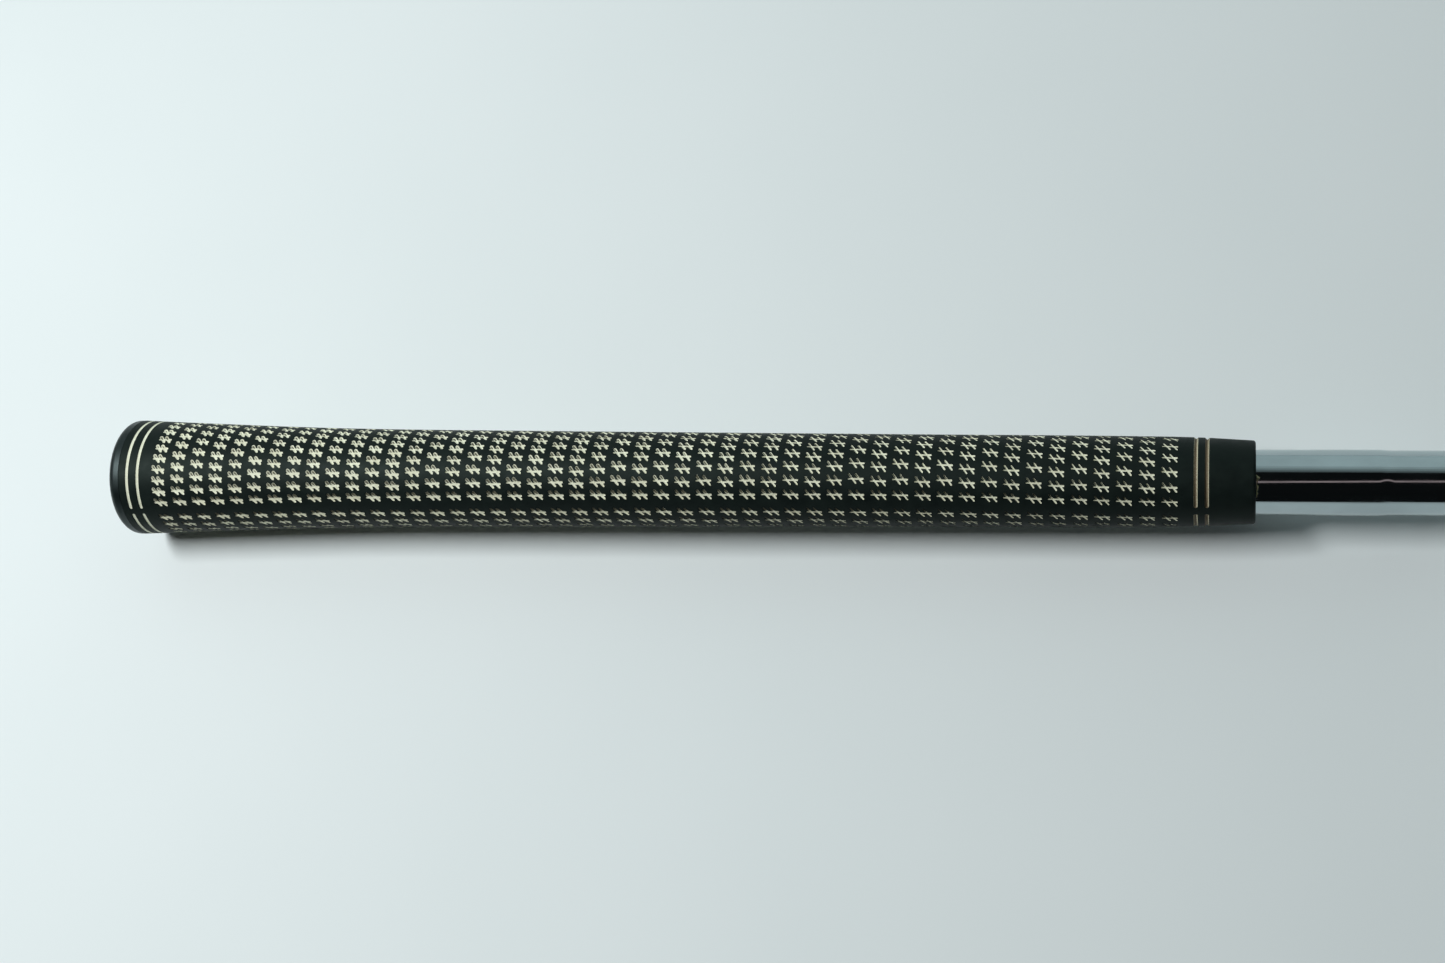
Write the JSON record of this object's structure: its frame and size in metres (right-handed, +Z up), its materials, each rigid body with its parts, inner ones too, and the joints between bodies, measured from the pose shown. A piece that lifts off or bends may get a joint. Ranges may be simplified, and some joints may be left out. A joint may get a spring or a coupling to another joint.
{
  "type": "golf grip",
  "caption": "Tapered rubber golf club grip with a moulded cross-line pattern, end cap and painted rings, bonded with tape to the butt section of a stepped steel shaft.",
  "frame": {"origin": "on the supporting surface, under the middle of the whole length; the part lies on its side with its axis 14.4 mm above the surface", "axes": "+X along the grip's axis, from the end cap to the shaft; +Z up from the supporting surface; one of the two moulding parting lines lies 57.5 degrees from +Z towards -Y"},
  "size_m": [0.322, 0.0288, 0.0288],
  "materials": {
    "sleeve_rubber": "matte moulded black rubber with a recessed cross-line pattern whose grooves hold worn cream paint",
    "cap_rubber": "smooth satin black rubber",
    "cream_paint": "matte cream paint, worn and stained with dirt",
    "tape": "double-sided paper tape, matte, yellowed",
    "adhesive": "dried yellowish tape adhesive with a ragged edge",
    "chromed_steel": "bright chrome plating with fine scratches"
  },
  "bodies": {
    "root": {"grip_sleeve": "sleeve_rubber", "end_cap": "cap_rubber", "butt_ring_outer_far": "cream_paint", "butt_ring_outer_near": "cream_paint", "butt_ring_inner_far": "cream_paint", "butt_ring_inner_near": "cream_paint", "mouth_ring_inner_far": "cream_paint", "mouth_ring_inner_near": "cream_paint", "mouth_ring_outer_far": "cream_paint", "mouth_ring_outer_near": "cream_paint", "grip_tape": "tape", "adhesive_bead": "adhesive", "shaft_butt": "chromed_steel"}
  },
  "joints": []
}
